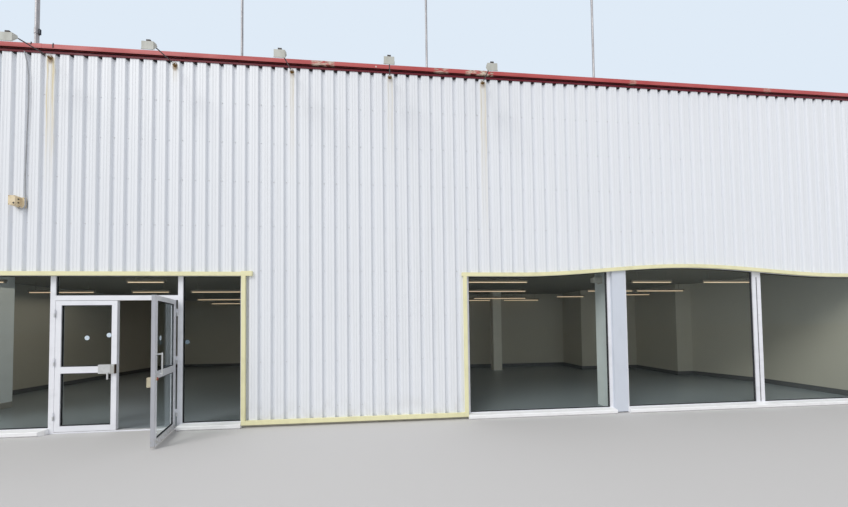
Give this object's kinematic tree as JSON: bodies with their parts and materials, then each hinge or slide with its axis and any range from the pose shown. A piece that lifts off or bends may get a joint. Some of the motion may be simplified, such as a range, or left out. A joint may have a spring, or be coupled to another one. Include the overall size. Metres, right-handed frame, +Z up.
{
  "type": "supermarket building",
  "caption": "Single-storey retail hall with ribbed white cladding, red roof coping, a glazed double-door entrance, bowed shop windows, roof masts and front lamps.",
  "frame": {"origin": "centre of the footprint at ground level", "axes": "+X along the front to the right as seen from the street, +Y from the front to the back, +Z up; the front faces -Y"},
  "size_m": [19.575, 9.477, 8.4],
  "materials": {
    "cladding_white": "satin",
    "wall_core": "matt",
    "floor_grey": "polished",
    "roofing": "matt",
    "ceiling_dark": "matt",
    "coping_red": "satin",
    "trim_yellow": "satin",
    "frame_aluminium": "satin",
    "glass_clear": "clear",
    "sill_white": "satin",
    "steel_fittings": "satin",
    "lock_beige": "satin",
    "column_grey": "matt",
    "inner_wall": "matt",
    "skirting_dark": "satin",
    "light_white": "satin",
    "lamp_grey": "weathered",
    "mast_galvanised": "galvanised",
    "box_beige": "weathered",
    "cable_grey": "matt"
  },
  "bodies": {
    "root": {"floor_slab": "floor_grey", "front_wall_left": "wall_core", "front_wall_over_entrance": "wall_core", "front_wall_centre": "wall_core", "front_wall_over_windows": "wall_core", "front_wall_right": "wall_core", "left_wall": "wall_core", "right_wall": "wall_core", "back_wall": "wall_core", "cladding_front_left": "cladding_white", "cladding_over_entrance": "cladding_white", "cladding_front_centre": "cladding_white", "cladding_over_windows": "cladding_white", "cladding_front_right": "cladding_white", "cladding_left": "cladding_white", "cladding_right": "cladding_white", "cladding_back": "cladding_white", "corner_angles": "cladding_white", "roof_deck": "roofing", "ceiling": "ceiling_dark", "coping": "coping_red", "entrance_trim": "trim_yellow", "window_trim": "trim_yellow", "base_trim": "trim_yellow", "entrance_posts": "frame_aluminium", "entrance_rails": "frame_aluminium", "entrance_glass": "glass_clear", "window_posts": "frame_aluminium", "window_rails": "frame_aluminium", "window_cover_post": "frame_aluminium", "window_glass": "glass_clear", "sills": "sill_white", "hinges": "steel_fittings", "columns": "column_grey", "inner_walls": "inner_wall", "skirting": "skirting_dark", "strip_lights": "light_white", "lamps": "lamp_grey", "masts": "mast_galvanised", "junction_box": "box_beige", "junction_cable": "cable_grey"},
    "left_door": {"left_door_frame": "frame_aluminium", "left_door_glass": "glass_clear", "left_door_lock": "steel_fittings"},
    "right_door": {"right_door_frame": "frame_aluminium", "right_door_glass": "glass_clear", "right_door_handle": "steel_fittings", "right_door_lock": "lock_beige"}
  },
  "joints": [
    {"name": "left_door_hinge", "type": "hinge", "parent": "root", "child": "left_door", "pos_m": [-5.3345, -4.262, 1], "axis": [0, 0, -1], "range_deg": [0, 105]},
    {"name": "right_door_hinge", "type": "hinge", "parent": "root", "child": "right_door", "pos_m": [-3.5255, -4.262, 1], "axis": [0, 0, 1], "range_deg": [-110, 2]}
  ]
}
